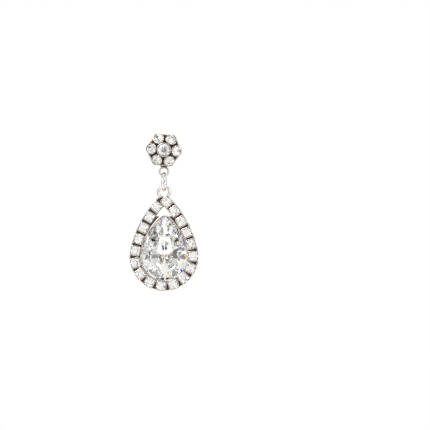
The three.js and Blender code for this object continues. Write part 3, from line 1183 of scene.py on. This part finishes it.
class EARRING_OT_stud_setting(Operator):
    """Model the flower's plate, its petal cups, its middle cup and the loop below"""

    bl_idname = "earring.stud_setting"
    bl_label = "Stud setting"

    def execute(self, context):
        stud, cut = settings_of(context.scene, "stud", "stones")
        petal = round_cup("petal_cups", cut.petal_radius, stud.petal_wall, 1.42, 5, 0.17, pi / 5)
        petals = copies_at(petal, petal_seats(stud))
        centre = round_cup("centre_cup", cut.centre_radius, stud.centre_wall, 1.9, 0, 0.2)
        activate(centre)
        centre.matrix_world = seat(0, 0, stud.centre_girdle, 0)
        bpy.ops.object.transform_apply(location=True, rotation=True, scale=True)
        parts = [self.plate(stud), petals, centre, self.loop(stud)]
        made = []
        for part in parts:
            smooth(part)
            give(part, "worn_dark_silver")
            made.append(finish_piece(part, "stud", ["stud_setting"]))
        mark_hollows(made, ("petal_stone", "centre_stone"),
                     stained={"stud_loop": 0.3, "stud_plate": 0.12, "centre_cup": -0.1})
        return {"FINISHED"}

    def plate(self, stud):
        """The round plate, dished behind the flower."""
        plate = begin("stud_plate", bpy.ops.mesh.primitive_cylinder_add, vertices=96,
                      radius=stud.plate_radius, depth=stud.plate_back - stud.plate_front,
                      location=(0, (stud.plate_back + stud.plate_front) / 2, 0),
                      rotation=(pi / 2, 0, 0))
        with editing(plate):
            pick(plate, "FACE", lambda face: abs(face.normal.y) > 0.9)
            inset(0.3)
            inset(0.25)
            pick(plate, "FACE", lambda face: face.normal.y < -0.9 and len(face.verts) > 20)
            extrude(y=0.36)
            for _ in range(12):
                inset(0.28)
        soften(plate, 0.14, 3, 40)
        return plate

    def loop(self, stud):
        """The tab at the flower's foot with its soldered loop."""
        loop = wire_loop("stud_loop", stud.loop_ring, stud.loop_wire,
                         (0, stud.hang, stud.loop_height), 14, 56)
        middle_z, foot_z, thick, tall = -4.62, -5.05, 0.68, 0.85
        tab = begin("tab", bpy.ops.mesh.primitive_cube_add, size=1,
                    location=(0, stud.hang, middle_z), scale=(stud.tab_width, thick, tall))
        with editing(tab):
            pick(tab, "FACE", lambda face: face.normal.z < -0.9)
            resize((0.86, 0.9, 1), (0, stud.hang, foot_z))
        soften(tab, 0.1, 3, 40)
        return joined("stud_loop", [loop, tab])


class EARRING_OT_ear_post(Operator):
    """Turn the ear post and its pad"""

    bl_idname = "earring.ear_post"
    bl_label = "Ear post"

    def execute(self, context):
        low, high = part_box("ear_post")
        length_back, pad_front = high.y / MILLIMETRE, low.y / MILLIMETRE
        pad_radius = high.x / MILLIMETRE
        post = begin("ear_post_wire", bpy.ops.mesh.primitive_cylinder_add, vertices=48,
                     radius=pad_radius, depth=-pad_front, location=(0, pad_front / 2, 0),
                     rotation=(pi / 2, 0, 0))
        with editing(post):
            pick(post, "FACE", lambda face: face.normal.y > 0.9)
            y, radius = 0.0, pad_radius
            tip = ((length_back - 0.06, 0.19), (length_back, 0.1))
            for new_y, new_radius in (*POST_PROFILE, *tip):
                extrude(y=new_y - y, size=new_radius / radius)
                y, radius = new_y, new_radius
        soften(post, 0.04, 2, 30)
        smooth(post)
        give(post, "drawn_silver")
        finish_piece(post, "stud", ["ear_post"])
        mark_hollows([post])
        return {"FINISHED"}


OPERATORS = (EARRING_OT_stage, EARRING_OT_round_stones, EARRING_OT_pear_stone, EARRING_OT_drop_frame,
             EARRING_OT_jump_ring, EARRING_OT_stud_setting, EARRING_OT_ear_post)
SETTINGS = {"earring_stage": StageSettings, "earring_finish": FinishSettings,
            "earring_stones": StoneSettings, "earring_stud": StudSettings,
            "earring_link": LinkSettings, "earring_drop": DropSettings,
            "earring_pear": PearSettings}


class EARRING_PT_panel(Panel):
    """Lists the earring's settings and the steps that make it"""

    bl_idname = "EARRING_PT_panel"
    bl_label = "Teardrop Earring"
    bl_space_type = "VIEW_3D"
    bl_region_type = "UI"
    bl_category = "Earring"

    def draw(self, context):
        for name, group in SETTINGS.items():
            box = self.layout.box()
            for setting in group.__annotations__:
                box.prop(getattr(context.scene, name), setting)
        for operator in OPERATORS:
            self.layout.operator(operator.bl_idname)


def register():
    for group in SETTINGS.values():
        bpy.utils.register_class(group)
    for name, group in SETTINGS.items():
        setattr(bpy.types.Scene, name, PointerProperty(type=group))
    for kind in (*OPERATORS, EARRING_PT_panel):
        bpy.utils.register_class(kind)


def unregister():
    for kind in reversed((*OPERATORS, EARRING_PT_panel)):
        bpy.utils.unregister_class(kind)
    for name in SETTINGS:
        delattr(bpy.types.Scene, name)
    for group in reversed(SETTINGS.values()):
        bpy.utils.unregister_class(group)


def main():
    register()
    for operator in OPERATORS:
        group, name = operator.bl_idname.split(".")
        getattr(getattr(bpy.ops, group), name)()
    deselect()
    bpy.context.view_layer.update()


if __name__ == "__main__":
    main()
